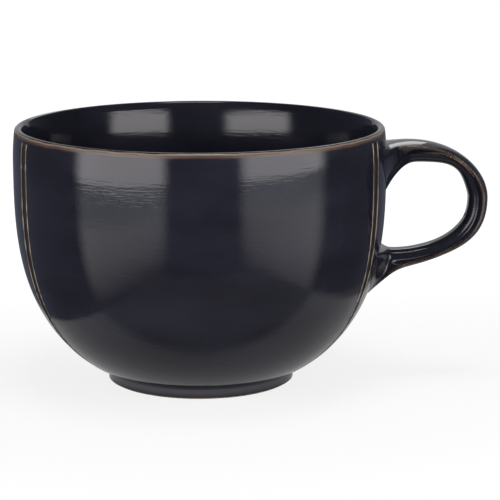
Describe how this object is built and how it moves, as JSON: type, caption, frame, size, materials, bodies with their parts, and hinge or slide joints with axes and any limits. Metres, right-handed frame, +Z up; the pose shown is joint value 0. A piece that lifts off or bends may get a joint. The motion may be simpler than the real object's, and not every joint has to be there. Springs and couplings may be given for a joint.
{
  "type": "breakfast cup",
  "caption": "Deep round stoneware cup on a low foot ring, dark glazed with a brown rim, with an ear-shaped strap handle on flared roots, for a large hot drink.",
  "frame": {"origin": "on the axis of the bowl, at the level of the table that the foot ring stands on", "axes": "+Z up along the axis of the bowl, +X towards the handle, +Y to the left of someone who looks from the bowl along the handle"},
  "size_m": [0.1466, 0.115, 0.0797],
  "materials": {
    "stoneware": "bare fired clay, matt",
    "slip": "fired slip, matt",
    "dark_glaze": "glossy blue-black glaze",
    "iron_glaze": "glossy brown glaze, thin over the lip"
  },
  "bodies": {
    "root": {"bowl": "stoneware", "foot_ring": "stoneware", "handle": "stoneware", "upper_slip_joint": "slip", "lower_slip_joint": "slip", "liner_glaze": "dark_glaze", "outer_glaze": "dark_glaze", "handle_glaze": "dark_glaze", "base_glaze": "dark_glaze", "rim_band": "iron_glaze"}
  },
  "joints": []
}
